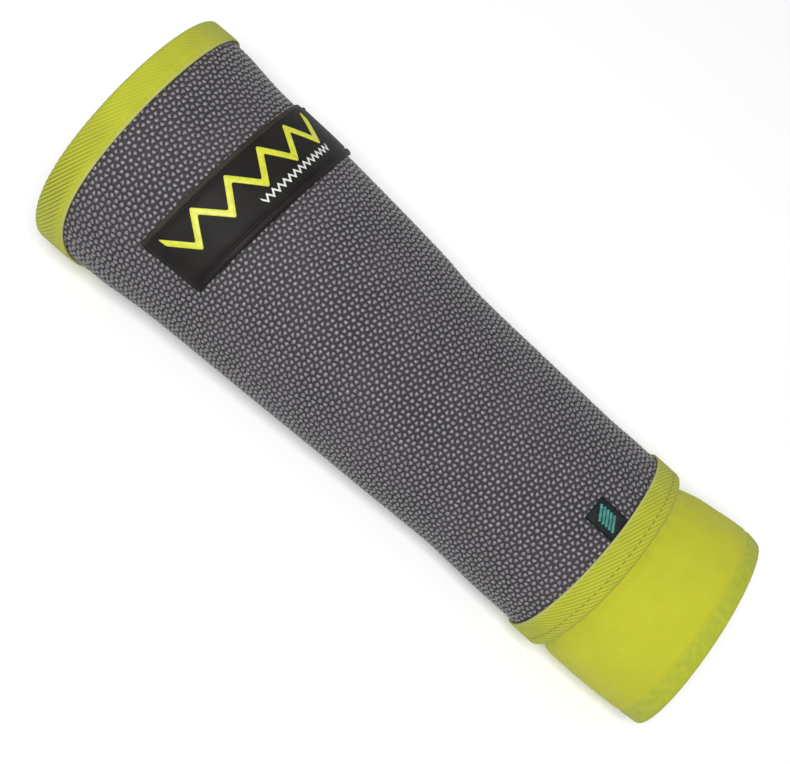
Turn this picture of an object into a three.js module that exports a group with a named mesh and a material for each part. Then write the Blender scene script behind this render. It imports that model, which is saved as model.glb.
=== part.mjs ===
import * as THREE from 'three';

// Cut resistant sleeve for a forearm, lying on its side as it keeps its form by itself.
// A stiff guard panel is sewn into a tapering tube. A folded tape binds its elbow end, and
// another binds its wrist end, where a knitted cuff comes out from under it. A moulded
// rubber patch lies round the upper side near the elbow, and a small woven tab stands
// out from the wrist tape.
// X runs along the sleeve towards the wrist, Y across it and Z up. Lengths are in millimetres.
// A place along the sleeve is measured from the guard panel's elbow end, and an angle round
// it from +Y towards +Z. An offset is a height outward from the panel's or the cuff's face.

const { clamp, degToRad, lerp, smoothstep } = THREE.MathUtils;

// Guard panel
const PANEL_LENGTH = 255;
const PANEL_WALL = 1.4;
const ELBOW_HALF_WIDTH = 53.6;
const ELBOW_HALF_HEIGHT = 46;
const WRIST_HALF_WIDTH = 43.2;
const WRIST_HALF_HEIGHT = 36.4;

// Cuff: a knitted tube with a turned hem
const CUFF_LENGTH = 44.5;
const CUFF_HALF_WIDTH = 44.2;
const CUFF_HALF_HEIGHT = 36.6;
const CUFF_WALL = 1.5;
const CUFF_TUCK = 8;
const CUFF_FLARE = 6.5;
const HEM_WIDTH = 7.6;
const HEM_WALL = 2.4;
const HEM_GROOVE_WIDTH = 1.2;
const HEM_GROOVE_DEPTH = 0.35;

// Binding tape, folded over both ends of the panel
const TAPE_THICKNESS = 0.9;
const BAND_WIDTH = 11;
const ELBOW_BAND_EXTRA = 7;

// Rubber patch
const PATCH_START = 43;
const PATCH_WIDTH = 28.4;
const PATCH_LENGTH = 104;
const PATCH_THICKNESS = 1.5;
const PATCH_TILT = 2.8;
const PATCH_BOW = 3;

// Woven tab, folded double
const TAB_WIDTH = 9.6;
const TAB_LENGTH = 13.2;
const TAB_THICKNESS = 1.1;

// Fits
const CLEARANCE = 0.3;

// How the tube lies: it settles into the surface, which flattens its underside
const SETTLE = 5;
const FLOOR_BLEND = 2;
const BAND_LIFT_REACH = BAND_WIDTH + ELBOW_BAND_EXTRA;

// Cuts of the ends: how far they run out of square, and the angle round the sleeve of each
const ELBOW_CUT_BACK = 9;
const ELBOW_CUT_ANGLE = degToRad(236);
const ELBOW_BAND_EXTRA_ANGLE = degToRad(228);
const ELBOW_BAND_EXTRA_FOCUS = 6;
const WRIST_BOW = 3.9;
const WRIST_BOW_ANGLE = degToRad(100);
const CUFF_SLANT = 4;
const CUFF_SLANT_ANGLE = degToRad(30);
const PATCH_ANGLE = degToRad(83);
const TAB_ANGLE = degToRad(96);

// Facets
const FACETS_ROUND = 48;
const PANEL_STEPS = 20;
const CUFF_STEPS = 7;
const PATCH_STEPS = 20;
const TAB_STEPS = 2;
const FOLD_STEPS = 4;

// Sections of the guard panel. along: share of its length. taper: share of the way from the
// elbow size to the wrist size. lean: sideways shift as a share of the elbow half width.
const PANEL_SECTIONS = [
  { along: 0.0, taper: 0.02, lean: 0.0 },
  { along: 0.05, taper: 0.02, lean: 0.002 },
  { along: 0.11, taper: 0.12, lean: 0.006 },
  { along: 0.15, taper: 0.21, lean: 0.017 },
  { along: 0.2, taper: 0.28, lean: 0.028 },
  { along: 0.26, taper: 0.33, lean: 0.032 },
  { along: 0.38, taper: 0.47, lean: 0.03 },
  { along: 0.5, taper: 0.64, lean: 0.026 },
  { along: 0.565, taper: 0.77, lean: 0.019 },
  { along: 0.63, taper: 0.84, lean: 0.017 },
  { along: 0.7, taper: 0.9, lean: 0.021 },
  { along: 0.78, taper: 0.96, lean: 0.022 },
  { along: 0.9, taper: 0.96, lean: -0.004 },
  { along: 1.0, taper: 0.96, lean: -0.017 },
];

// Sections of the cuff. along: share of its length. size: share of its half width and half
// height. lean: sideways shift as a share of its half width.
const CUFF_SECTIONS = [
  { along: 0.0, size: 0.918, lean: -0.014 },
  { along: 0.13, size: 0.955, lean: -0.014 },
  { along: 0.31, size: 0.984, lean: 0.0 },
  { along: 0.5, size: 0.996, lean: 0.011 },
  { along: 0.71, size: 1.004, lean: 0.029 },
  { along: 0.87, size: 1.0, lean: 0.041 },
  { along: 1.0, size: 0.985, lean: 0.041 },
];

// Section across the patch, from its elbow side. across: share of its width.
// rise: share of its thickness.
const PATCH_SECTIONS = [
  { across: 0.0, rise: 0.45 },
  { across: 0.06, rise: 0.5 },
  { across: 0.075, rise: 1.0 },
  { across: 0.115, rise: 1.0 },
  { across: 0.13, rise: 0.8 },
  { across: 0.87, rise: 0.8 },
  { across: 0.885, rise: 0.6 },
  { across: 0.905, rise: 0.6 },
  { across: 0.92, rise: 1.0 },
  { across: 0.97, rise: 1.0 },
  { across: 1.0, rise: 0.7 },
];

// What stands on the panel's face: the tape, over the clearance that it keeps
const BAND_RISE = CLEARANCE + TAPE_THICKNESS;
// What lies between the panel's outer face and the cuff's: the panel, the tape and two clearances
const CUFF_DEPTH = PANEL_WALL + CLEARANCE + TAPE_THICKNESS + CLEARANCE;

// A table's column at a share of the length, on a smooth curve through its rows
function columnAt(table, column, share) {
  const x = clamp(share, 0, 1);
  const last = table.length - 1;
  let k = 0;
  while (k < last - 1 && table[k + 1].along <= x) {
    k += 1;
  }
  const slope = (row) => {
    const low = table[Math.max(row - 1, 0)];
    const high = table[Math.min(row + 1, last)];
    return (high[column] - low[column]) / (high.along - low.along);
  };
  const span = table[k + 1].along - table[k].along;
  const s = (x - table[k].along) / span;
  const start = table[k][column] * (1 + 2 * s) * (1 - s) ** 2 + slope(k) * span * s * (1 - s) ** 2;
  const end = table[k + 1][column] * s * s * (3 - 2 * s) + slope(k + 1) * span * s * s * (s - 1);
  return start + end;
}

// The panel's section at a place along the sleeve. Near both ends it is lifted by the tape
// under it, so that panel and tape rest on the same surface.
function panelForm(place) {
  const share = place / PANEL_LENGTH;
  const taper = columnAt(PANEL_SECTIONS, 'taper', share);
  const fromEnd = Math.min(place, PANEL_LENGTH - place);
  return {
    halfWidth: lerp(ELBOW_HALF_WIDTH, WRIST_HALF_WIDTH, taper),
    halfHeight: lerp(ELBOW_HALF_HEIGHT, WRIST_HALF_HEIGHT, taper),
    lean: ELBOW_HALF_WIDTH * columnAt(PANEL_SECTIONS, 'lean', share),
    lift: BAND_RISE * (1 - smoothstep(fromEnd, BAND_LIFT_REACH, 2 * BAND_LIFT_REACH)),
  };
}

// The cuff's section: under the tape it follows the panel's, then it flares to its own size
function cuffForm(place) {
  const share = (place - PANEL_LENGTH) / CUFF_LENGTH;
  const size = columnAt(CUFF_SECTIONS, 'size', share);
  const flareStart = PANEL_LENGTH + BAND_RISE + CLEARANCE;
  const own = smoothstep(place, flareStart, flareStart + CUFF_FLARE);
  const under = panelForm(Math.min(place, PANEL_LENGTH));
  return {
    halfWidth: lerp(under.halfWidth - CUFF_DEPTH, CUFF_HALF_WIDTH * size, own),
    halfHeight: lerp(under.halfHeight - CUFF_DEPTH, CUFF_HALF_HEIGHT * size, own),
    lean: lerp(under.lean, CUFF_HALF_WIDTH * columnAt(CUFF_SECTIONS, 'lean', share), own),
    lift: lerp(under.lift + CUFF_DEPTH, 0, own),
  };
}

// How far the cuts of the ends slide a point along the sleeve
function slideOf(place, angle) {
  const elbow = ELBOW_CUT_BACK * ((1 + Math.cos(angle - ELBOW_CUT_ANGLE)) / 2) ** 2;
  const wrist = -WRIST_BOW * (1 - Math.cos(angle - WRIST_BOW_ANGLE));
  const cuff = -CUFF_SLANT * Math.cos(angle - CUFF_SLANT_ANGLE);
  if (place < PANEL_LENGTH) {
    return lerp(elbow, wrist, clamp(place / PANEL_LENGTH, 0, 1));
  }
  return lerp(wrist, cuff, clamp((place - PANEL_LENGTH) / CUFF_LENGTH, 0, 1));
}

// A point at an offset from the face of a form: an oval whose underside lies flat
function pointOn(form, place, angle, offset) {
  const { halfWidth, halfHeight, lean, lift } = form(place);
  const y = lean + (halfWidth + offset) * Math.cos(angle);
  const oval = halfHeight - SETTLE + lift + (halfHeight + offset) * Math.sin(angle);
  const floor = lift - offset;
  const blend = Math.max(FLOOR_BLEND - Math.abs(oval - floor), 0);
  const z = Math.max(oval, floor) + blend ** 2 / (4 * FLOOR_BLEND);
  return new THREE.Vector3(place + slideOf(place, angle), y, z);
}

// A closed body from points and quads, each quad given in order round its outer side
function bodyOf(points, quads) {
  const geometry = new THREE.BufferGeometry();
  geometry.setFromPoints(points);
  geometry.setIndex(quads.flatMap(([a, b, c, d]) => [a, b, c, a, c, d]));
  geometry.computeVertexNormals();
  return geometry;
}

// A ring round the arm: a closed section of { place, offset }, which may change with the angle
function ringBody(form, sectionAt) {
  const points = [];
  for (let turn = 0; turn < FACETS_ROUND; turn += 1) {
    const angle = (2 * Math.PI * turn) / FACETS_ROUND;
    for (const { place, offset } of sectionAt(angle)) {
      points.push(pointOn(form, place, angle, offset));
    }
  }
  const count = points.length / FACETS_ROUND;
  const quads = [];
  for (let turn = 0; turn < FACETS_ROUND; turn += 1) {
    const here = turn * count;
    const next = ((turn + 1) % FACETS_ROUND) * count;
    for (let k = 0; k < count; k += 1) {
      const after = (k + 1) % count;
      quads.push([here + k, next + k, next + after, here + after]);
    }
  }
  return bodyOf(points, quads);
}

// A slab lying on the panel: pointAt gives its point at a row, a column and a side, where
// side 1 is the outer face and side 0 the face towards the panel. Rows run towards the
// wrist, and columns round the panel in the sense of its angle.
function slabBody(rows, columns, pointAt) {
  const points = [];
  for (const side of [0, 1]) {
    for (let i = 0; i < rows; i += 1) {
      for (let j = 0; j < columns; j += 1) {
        points.push(pointAt(i, j, side));
      }
    }
  }
  const index = (i, j, side) => (side * rows + i) * columns + j;
  const quads = [];
  for (let i = 0; i < rows - 1; i += 1) {
    for (let j = 0; j < columns - 1; j += 1) {
      quads.push([index(i, j, 1), index(i, j + 1, 1), index(i + 1, j + 1, 1), index(i + 1, j, 1)]);
      quads.push([index(i, j, 0), index(i + 1, j, 0), index(i + 1, j + 1, 0), index(i, j + 1, 0)]);
    }
  }
  const wall = (i, j, nextI, nextJ) => {
    quads.push([index(i, j, 0), index(nextI, nextJ, 0), index(nextI, nextJ, 1), index(i, j, 1)]);
  };
  for (let i = 0; i < rows - 1; i += 1) {
    wall(i + 1, 0, i, 0);
    wall(i, columns - 1, i + 1, columns - 1);
  }
  for (let j = 0; j < columns - 1; j += 1) {
    wall(0, j, 0, j + 1);
    wall(rows - 1, j + 1, rows - 1, j);
  }
  return bodyOf(points, quads);
}

// Evenly spaced places, both ends included
function stepsBetween(from, to, count) {
  return Array.from({ length: count + 1 }, (_, k) => lerp(from, to, k / count));
}

// Guard panel: one wall from the elbow end to the wrist end
function guardPanel() {
  const places = stepsBetween(0, PANEL_LENGTH, PANEL_STEPS);
  const outer = places.map((place) => ({ place, offset: 0 }));
  const inner = places.map((place) => ({ place, offset: -PANEL_WALL })).reverse();
  return ringBody(panelForm, () => [...outer, ...inner]);
}

// The tape's section: two leaves and a round fold past the panel's end. into is the
// distance from that end into the sleeve, so it is negative in the fold.
function tapeSection(bandWidth) {
  const middle = -PANEL_WALL / 2;
  const foldHeight = BAND_RISE - middle;
  const fold = [];
  for (let k = 1; k < FOLD_STEPS; k += 1) {
    const turn = (Math.PI * k) / FOLD_STEPS;
    fold.push({ into: -BAND_RISE * Math.sin(turn), offset: middle + foldHeight * Math.cos(turn) });
  }
  return [
    { into: bandWidth, offset: BAND_RISE },
    { into: 0, offset: BAND_RISE },
    ...fold,
    { into: 0, offset: -PANEL_WALL - BAND_RISE },
    { into: bandWidth, offset: -PANEL_WALL - BAND_RISE },
    { into: bandWidth, offset: -PANEL_WALL - CLEARANCE },
    { into: -CLEARANCE, offset: -PANEL_WALL - CLEARANCE },
    { into: -CLEARANCE, offset: CLEARANCE },
    { into: bandWidth, offset: CLEARANCE },
  ];
}

// Wrist tape: its section faces the wrist
function wristBinding() {
  const section = tapeSection(BAND_WIDTH).map(({ into, offset }) => ({
    place: PANEL_LENGTH - into,
    offset,
  }));
  return ringBody(panelForm, () => section);
}

// Elbow tape: its section faces the elbow, and it is sewn on wider under the lower side
function elbowBinding() {
  return ringBody(panelForm, (angle) => {
    const under = ((1 + Math.cos(angle - ELBOW_BAND_EXTRA_ANGLE)) / 2) ** ELBOW_BAND_EXTRA_FOCUS;
    const section = tapeSection(BAND_WIDTH + ELBOW_BAND_EXTRA * under);
    return section.map(({ into, offset }) => ({ place: into, offset })).reverse();
  });
}

// Cuff: from inside the wrist tape out to the hem, which is turned in and so thicker
function knitCuff() {
  const tuckEnd = PANEL_LENGTH + BAND_RISE + CLEARANCE;
  const end = PANEL_LENGTH + CUFF_LENGTH;
  const hemLine = end - HEM_WIDTH;
  const round = HEM_WALL / 3;
  const body = stepsBetween(tuckEnd, hemLine - HEM_GROOVE_WIDTH, CUFF_STEPS);
  const places = [PANEL_LENGTH - CUFF_TUCK, ...body];
  const outer = places.map((place) => ({ place, offset: 0 }));
  const hem = [
    { place: hemLine, offset: -HEM_GROOVE_DEPTH },
    { place: hemLine + HEM_GROOVE_WIDTH, offset: 0 },
    { place: end - round, offset: 0 },
    { place: end, offset: -round },
    { place: end, offset: round - HEM_WALL },
    { place: end - round, offset: -HEM_WALL },
    { place: hemLine, offset: -HEM_WALL },
  ];
  const inner = places.map((place) => ({ place, offset: -CUFF_WALL })).reverse();
  return ringBody(cuffForm, () => [...outer, ...hem, ...inner]);
}

// The angle that a length takes round the panel at a place
function angleOf(length, place) {
  const { halfWidth, halfHeight } = panelForm(place);
  return (2 * length) / (halfWidth + halfHeight);
}

// Patch: a strip round the upper side. It runs a little askew, and dips towards the wrist
// in its middle, as a straight strip does on a tapering tube.
function labelPatch() {
  const middle = PATCH_START + PATCH_WIDTH / 2;
  const halfSweep = angleOf(PATCH_LENGTH / 2, middle);
  return slabBody(PATCH_SECTIONS.length, PATCH_STEPS + 1, (i, j, side) => {
    const { across, rise } = PATCH_SECTIONS[i];
    const s = lerp(1, -1, j / PATCH_STEPS);
    const askew = PATCH_TILT * s + PATCH_BOW * (1 - s * s) - PATCH_BOW / 2;
    const place = PATCH_START + PATCH_WIDTH * across + askew;
    const offset = CLEARANCE + side * PATCH_THICKNESS * rise;
    return pointOn(panelForm, place, PATCH_ANGLE - s * halfSweep, offset);
  });
}

// Tab: lies on the panel and ends at the wrist tape's edge
function sideTab() {
  const end = PANEL_LENGTH - BAND_WIDTH - CLEARANCE;
  const sweep = angleOf(TAB_WIDTH, end);
  return slabBody(TAB_STEPS + 1, TAB_STEPS + 1, (i, j, side) => {
    const place = end - TAB_LENGTH * (1 - i / TAB_STEPS);
    const angle = TAB_ANGLE + sweep * (j / TAB_STEPS - 0.5);
    return pointOn(panelForm, place, angle, CLEARANCE + side * TAB_THICKNESS);
  });
}

function piece(name, geometry, color, roughness) {
  const material = new THREE.MeshStandardMaterial({ color, roughness, metalness: 0 });
  const mesh = new THREE.Mesh(geometry, material);
  mesh.name = name;
  return mesh;
}

const sleeve = new THREE.Group();
sleeve.add(
  piece('guard_panel', guardPanel(), 0x615c61, 0.6),
  piece('elbow_binding', elbowBinding(), 0xbbc138, 0.85),
  piece('wrist_binding', wristBinding(), 0xbec237, 0.85),
  piece('knit_cuff', knitCuff(), 0xc7c937, 0.9),
  piece('label_patch', labelPatch(), 0x322f2a, 0.55),
  piece('side_tab', sideTab(), 0x1d2122, 0.8),
);

// The origin is at the bottom centre of the whole sleeve
const centre = new THREE.Box3().setFromObject(sleeve).getCenter(new THREE.Vector3());
sleeve.position.set(-centre.x, -centre.y, 0);

export default sleeve;
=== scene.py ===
import math

import bmesh
import bpy
import numpy as np
from mathutils import Matrix, Vector


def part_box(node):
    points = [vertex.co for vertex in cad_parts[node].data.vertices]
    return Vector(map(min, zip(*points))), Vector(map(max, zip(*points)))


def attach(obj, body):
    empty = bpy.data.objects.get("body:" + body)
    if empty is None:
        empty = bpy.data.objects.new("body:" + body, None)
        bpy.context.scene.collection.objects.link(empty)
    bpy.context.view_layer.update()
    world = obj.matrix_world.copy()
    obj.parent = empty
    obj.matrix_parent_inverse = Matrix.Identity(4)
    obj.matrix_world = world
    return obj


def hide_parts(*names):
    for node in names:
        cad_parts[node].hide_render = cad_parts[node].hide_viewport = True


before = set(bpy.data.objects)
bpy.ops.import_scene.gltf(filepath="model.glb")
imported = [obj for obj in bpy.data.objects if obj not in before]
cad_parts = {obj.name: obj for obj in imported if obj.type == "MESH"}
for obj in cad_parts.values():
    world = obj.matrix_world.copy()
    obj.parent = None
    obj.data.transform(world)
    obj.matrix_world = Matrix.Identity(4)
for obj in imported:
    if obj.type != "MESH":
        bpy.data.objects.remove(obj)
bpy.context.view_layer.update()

# Studio: the sleeve lies on a pale floor under soft light, seen steeply from above its
# front side. The camera is rolled, so that the sleeve runs down to the right.
CAMERA_TARGET = Vector((-0.00685, -0.00542, 0.038))
CAMERA_DISTANCE = 0.640
CAMERA_ELEVATION = math.radians(66)
CAMERA_ROLL = math.radians(41.09)
WIDTH_IN_VIEW = 0.3081
SENSOR_WIDTH = 36.0
FLOOR_SIZE = 12.0
FLOOR_TONE = 0.9
FLOOR_ROUGHNESS = 0.9
ROOM_LIGHT = 0.3

scene = bpy.context.scene
scene.view_settings.view_transform = "Standard"

towards_camera = Vector((0, -math.cos(CAMERA_ELEVATION), math.sin(CAMERA_ELEVATION)))
over_sleeve = Vector((0, math.sin(CAMERA_ELEVATION), math.cos(CAMERA_ELEVATION)))
along_sleeve = Vector((1, 0, 0))
picture_right = math.cos(CAMERA_ROLL) * along_sleeve + math.sin(CAMERA_ROLL) * over_sleeve
picture_up = math.cos(CAMERA_ROLL) * over_sleeve - math.sin(CAMERA_ROLL) * along_sleeve
camera = bpy.data.objects.new("camera", bpy.data.cameras.new("camera"))
camera.data.sensor_width = SENSOR_WIDTH
camera.data.lens = SENSOR_WIDTH * CAMERA_DISTANCE / WIDTH_IN_VIEW
camera_turn = Matrix((picture_right, picture_up, towards_camera)).transposed().to_4x4()
camera.matrix_world = Matrix.Translation(CAMERA_TARGET + CAMERA_DISTANCE * towards_camera) @ camera_turn
scene.collection.objects.link(camera)
scene.camera = camera


def made_mesh(name, shape):
    """The mesh of a finished shape."""
    mesh = bpy.data.meshes.new(name)
    shape.to_mesh(mesh)
    shape.free()
    return mesh


floor_shape = bmesh.new()
bmesh.ops.create_grid(floor_shape, x_segments=1, y_segments=1, size=FLOOR_SIZE / 2)
floor_mesh = made_mesh("floor", floor_shape)
floor = bpy.data.objects.new("floor", floor_mesh)
scene.collection.objects.link(floor)
floor_paint = bpy.data.materials.new("pale_floor")
floor_paint.use_nodes = True
floor_shader = floor_paint.node_tree.nodes["Principled BSDF"]
floor_shader.inputs["Base Color"].default_value = (FLOOR_TONE, FLOOR_TONE, FLOOR_TONE, 1)
floor_shader.inputs["Roughness"].default_value = FLOOR_ROUGHNESS
floor_mesh.materials.append(floor_paint)

room = bpy.data.worlds.new("soft_room")
room.use_nodes = True
room.node_tree.nodes["Background"].inputs["Color"].default_value = (1, 1, 1, 1)
room.node_tree.nodes["Background"].inputs["Strength"].default_value = ROOM_LIGHT
scene.world = room


def soft_light(name, direction, distance, size, power):
    light = bpy.data.objects.new(name, bpy.data.lights.new(name, "AREA"))
    light.data.shape = "SQUARE"
    light.data.size = size
    light.data.energy = power
    back = Vector(direction).normalized()
    light.location = CAMERA_TARGET + distance * back
    light.rotation_mode = "QUATERNION"
    light.rotation_quaternion = (-back).to_track_quat("-Z", "Y")
    scene.collection.objects.link(light)


soft_light("key_light", direction=(-0.02, -0.36, 0.93), distance=1.4, size=0.5, power=20.0)
soft_light("back_light", direction=(0.25, 0.90, 0.40), distance=1.5, size=0.7, power=3.0)


# Guard cloth: a heavy dark cloth that carries small hard plates on its outer side. It is
# cut flat and sewn to a tapering tube, with its seam along the lower back side. It keeps
# its form by itself and lies flat where it rests.
# Lengths are in metres. A place is measured along the sleeve from the cloth's elbow end, an
# angle round it from +Y towards +Z, and an offset outward from the guard panel's face.
panel_low, panel_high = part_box("guard_panel")
ELBOW_X = panel_low.x
PANEL_LENGTH = panel_high.x - panel_low.x
PANEL_WALL = 0.0014
ELBOW_HALF_WIDTH = 0.0536
ELBOW_HALF_HEIGHT = 0.046
WRIST_HALF_WIDTH = 0.0432
WRIST_HALF_HEIGHT = 0.0364
SETTLE = 0.005
FLOOR_BLEND = 0.002
CLEARANCE = 0.0003
BAND_WIDTH = 0.011
BAND_RISE = 0.0012
BAND_LIFT_REACH = 0.018
ELBOW_CUT_BACK = 0.009
ELBOW_CUT_ANGLE = math.radians(236)
ELBOW_CUT_FOCUS = 4
ELBOW_CUT_SOFTENING = 2
ELBOW_CUT_REACH = 0.042
WRIST_BOW = 0.0039
WRIST_BOW_ANGLE = math.radians(100)
CUFF_SLANT = 0.004
CUFF_SLANT_ANGLE = math.radians(30)
CUFF_LENGTH = 0.0445
# each row: share of the length, share of the way from the elbow size to the wrist size,
# and sideways lean as a share of the elbow half width
PANEL_SECTIONS = (
    (0.0, 0.02, 0.0),
    (0.05, 0.02, 0.002),
    (0.11, 0.12, 0.006),
    (0.15, 0.21, 0.017),
    (0.2, 0.28, 0.028),
    (0.26, 0.33, 0.032),
    (0.38, 0.47, 0.03),
    (0.5, 0.64, 0.026),
    (0.565, 0.77, 0.019),
    (0.63, 0.84, 0.017),
    (0.7, 0.9, 0.021),
    (0.78, 0.96, 0.022),
    (0.9, 0.96, -0.004),
    (1.0, 0.96, -0.017),
)
SPIN_RADIUS = 0.1
CLOTH_FACE = -0.00044
CLOTH_ROWS = 70
CLOTH_STEPS = 180
CLOTH_COLOR = (0.042, 0.038, 0.043)
SEAM_ANGLE = math.radians(302)


def blend_step(low, high, value):
    """0 below low, 1 above high, and a smooth rise between them."""
    share = np.clip((value - low) / (high - low), 0, 1)
    return share * share * (3 - 2 * share)


def column(sections, index, share):
    """One column of a table of sections at a share of the length, on a smooth curve."""
    along = np.array([row[0] for row in sections])
    value = np.array([row[index] for row in sections])
    low = np.maximum(np.arange(len(along)) - 1, 0)
    high = np.minimum(np.arange(len(along)) + 1, len(along) - 1)
    slope = (value[high] - value[low]) / (along[high] - along[low])
    share = np.clip(share, 0, 1)
    k = np.clip(np.searchsorted(along, share, side="right") - 1, 0, len(along) - 2)
    span = along[k + 1] - along[k]
    s = (share - along[k]) / span
    start = value[k] * (1 + 2 * s) * (1 - s) ** 2 + slope[k] * span * s * (1 - s) ** 2
    end = value[k + 1] * s * s * (3 - 2 * s) + slope[k + 1] * span * s * s * (s - 1)
    return start + end


def panel_form(place):
    """Half width, half height, lean and lift of the panel's section."""
    taper = column(PANEL_SECTIONS, 1, place / PANEL_LENGTH)
    from_end = np.minimum(place, PANEL_LENGTH - place)
    return (
        ELBOW_HALF_WIDTH + (WRIST_HALF_WIDTH - ELBOW_HALF_WIDTH) * taper,
        ELBOW_HALF_HEIGHT + (WRIST_HALF_HEIGHT - ELBOW_HALF_HEIGHT) * taper,
        ELBOW_HALF_WIDTH * column(PANEL_SECTIONS, 2, place / PANEL_LENGTH),
        BAND_RISE * (1 - blend_step(BAND_LIFT_REACH, 2 * BAND_LIFT_REACH, from_end)),
    )


def slide(place, angle):
    """How far the cuts of the ends move a point along the sleeve. The elbow's softens inward."""
    focus = ELBOW_CUT_FOCUS - ELBOW_CUT_SOFTENING * blend_step(BAND_WIDTH, ELBOW_CUT_REACH, place)
    elbow = ELBOW_CUT_BACK * ((1 + np.cos(angle - ELBOW_CUT_ANGLE)) / 2) ** focus
    wrist = -WRIST_BOW * (1 - np.cos(angle - WRIST_BOW_ANGLE))
    cuff = -CUFF_SLANT * np.cos(angle - CUFF_SLANT_ANGLE)
    on_panel = np.clip(place / PANEL_LENGTH, 0, 1)
    on_cuff = np.clip((place - PANEL_LENGTH) / CUFF_LENGTH, 0, 1)
    return elbow + (wrist - elbow) * on_panel + (cuff - wrist) * on_cuff


def laid(form, place, angle, offset):
    """The points at an offset from a form's face: an oval whose underside lies flat."""
    half_width, half_height, lean, lift = form(place)
    y = lean + (half_width + offset) * np.cos(angle)
    oval = half_height - SETTLE + lift + (half_height + offset) * np.sin(angle)
    ground = lift - offset
    blend = np.maximum(FLOOR_BLEND - np.abs(oval - ground), 0)
    z = np.maximum(oval, ground) + blend**2 / (4 * FLOOR_BLEND)
    return np.stack([ELBOW_X + place + slide(place, angle), y, z], axis=-1)


def points_of(mesh):
    points = np.empty(3 * len(mesh.vertices))
    mesh.vertices.foreach_get("co", points)
    return points.reshape(-1, 3)


def move_points(mesh, points):
    mesh.vertices.foreach_set("co", points.ravel())
    mesh.update()


def marks_of(mesh, name):
    """The values that a mesh's points carry under a name."""
    values = np.empty(len(mesh.vertices))
    mesh.attributes[name].data.foreach_get("value", values)
    return values


def mark_points(mesh, name, values):
    mesh.attributes.new(name, "FLOAT", "POINT").data.foreach_set("value", values)


def map_cloth(mesh, place, angle, radius):
    """Maps the cloth as it was cut, in metres: along the sleeve, and round it from the seam."""
    corners = np.empty(len(mesh.loops), dtype=int)
    mesh.loops.foreach_get("vertex_index", corners)
    starts = np.empty(len(mesh.polygons), dtype=int)
    mesh.polygons.foreach_get("loop_start", starts)
    turns = (((SEAM_ANGLE - angle) / (2 * math.pi)) % 1.0)[corners]
    sizes = np.diff(np.append(starts, len(corners)))
    highest = np.repeat(np.maximum.reduceat(turns, starts), sizes)
    turns = np.where(highest - turns > 0.5, turns + 1, turns)
    flat = np.stack([place[corners], turns * 2 * math.pi * radius], axis=-1)
    mesh.uv_layers.new(name="cloth").data.foreach_set("uv", flat.ravel())


def spun_ring(name, section, steps, marks=()):
    """A closed section, spun round the sleeve's axis. Its rows hold a place, an offset and marks."""
    shape = bmesh.new()
    layers = [shape.verts.layers.float.new(mark) for mark in marks]
    points = []
    for place, offset, *values in section:
        point = shape.verts.new((place, SPIN_RADIUS + offset, 0))
        for layer, value in zip(layers, values):
            point[layer] = value
        points.append(point)
    edges = [shape.edges.new((points[k - 1], points[k])) for k in range(len(points))]
    bmesh.ops.spin(
        shape, geom=points + edges, cent=(0, 0, 0), axis=(1, 0, 0), dvec=(0, 0, 0),
        angle=2 * math.pi, steps=steps, use_merge=True, use_duplicate=False,
    )
    bmesh.ops.recalc_face_normals(shape, faces=shape.faces)
    return made_mesh(name, shape)


def ring_coordinates(mesh):
    """Place, angle and offset of a spun ring's points."""
    x, y, z = points_of(mesh).T
    return x, np.arctan2(z, y) % (2 * math.pi), np.hypot(y, z) - SPIN_RADIUS


def new_piece(name, mesh, material):
    mesh.polygons.foreach_set("use_smooth", np.ones(len(mesh.polygons), dtype=bool))
    mesh.materials.append(material)
    piece = bpy.data.objects.new(name, mesh)
    scene.collection.objects.link(piece)
    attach(piece, "root")
    return piece


def new_material(name, roughness):
    material = bpy.data.materials.new(name)
    material.use_nodes = True
    shader = material.node_tree.nodes["Principled BSDF"]
    shader.inputs["Roughness"].default_value = roughness
    return material, material.node_tree.nodes, material.node_tree.links, shader


def feed(links, socket, value):
    """Feeds an input with another socket, a plain number or a colour."""
    if isinstance(value, bpy.types.NodeSocket):
        links.new(value, socket)
    elif isinstance(value, tuple):
        socket.default_value = (*value, 1)
    else:
        socket.default_value = value


def math_node(nodes, links, operation, *values):
    node = nodes.new("ShaderNodeMath")
    node.operation = operation
    for socket, value in zip(node.inputs, values):
        feed(links, socket, value)
    return node.outputs[0]


def mixed(nodes, links, factor, first, second):
    """A colour between two others."""
    node = nodes.new("ShaderNodeMix")
    node.data_type = "RGBA"
    for socket, value in ((node.inputs[0], factor), (node.inputs[6], first), (node.inputs[7], second)):
        feed(links, socket, value)
    return node.outputs[2]


def woven_group():
    """Crossing threads on the cloth map: their Height from -1 to 1."""
    group = bpy.data.node_groups.new("woven_threads", "ShaderNodeTree")
    group.interface.new_socket("Thread Width", in_out="INPUT", socket_type="NodeSocketFloat")
    group.interface.new_socket("Slant", in_out="INPUT", socket_type="NodeSocketFloat")
    group.interface.new_socket("Height", in_out="OUTPUT", socket_type="NodeSocketFloat")
    nodes, links = group.nodes, group.links
    given, made = nodes.new("NodeGroupInput"), nodes.new("NodeGroupOutput")
    uv = nodes.new("ShaderNodeUVMap")
    uv.uv_map = "cloth"
    split = nodes.new("ShaderNodeSeparateXYZ")
    links.new(uv.outputs["UV"], split.inputs["Vector"])
    slanted = math_node(nodes, links, "MULTIPLY", split.outputs["Y"], given.outputs["Slant"])
    across = math_node(nodes, links, "ADD", split.outputs["X"], slanted)
    waves = []
    for distance in (across, split.outputs["Y"]):
        turns = math_node(nodes, links, "DIVIDE", distance, given.outputs["Thread Width"])
        radians = math_node(nodes, links, "MULTIPLY", turns, math.pi)
        waves.append(math_node(nodes, links, "SINE", radians))
    links.new(math_node(nodes, links, "MULTIPLY", *waves), made.inputs["Height"])
    return group


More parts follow.
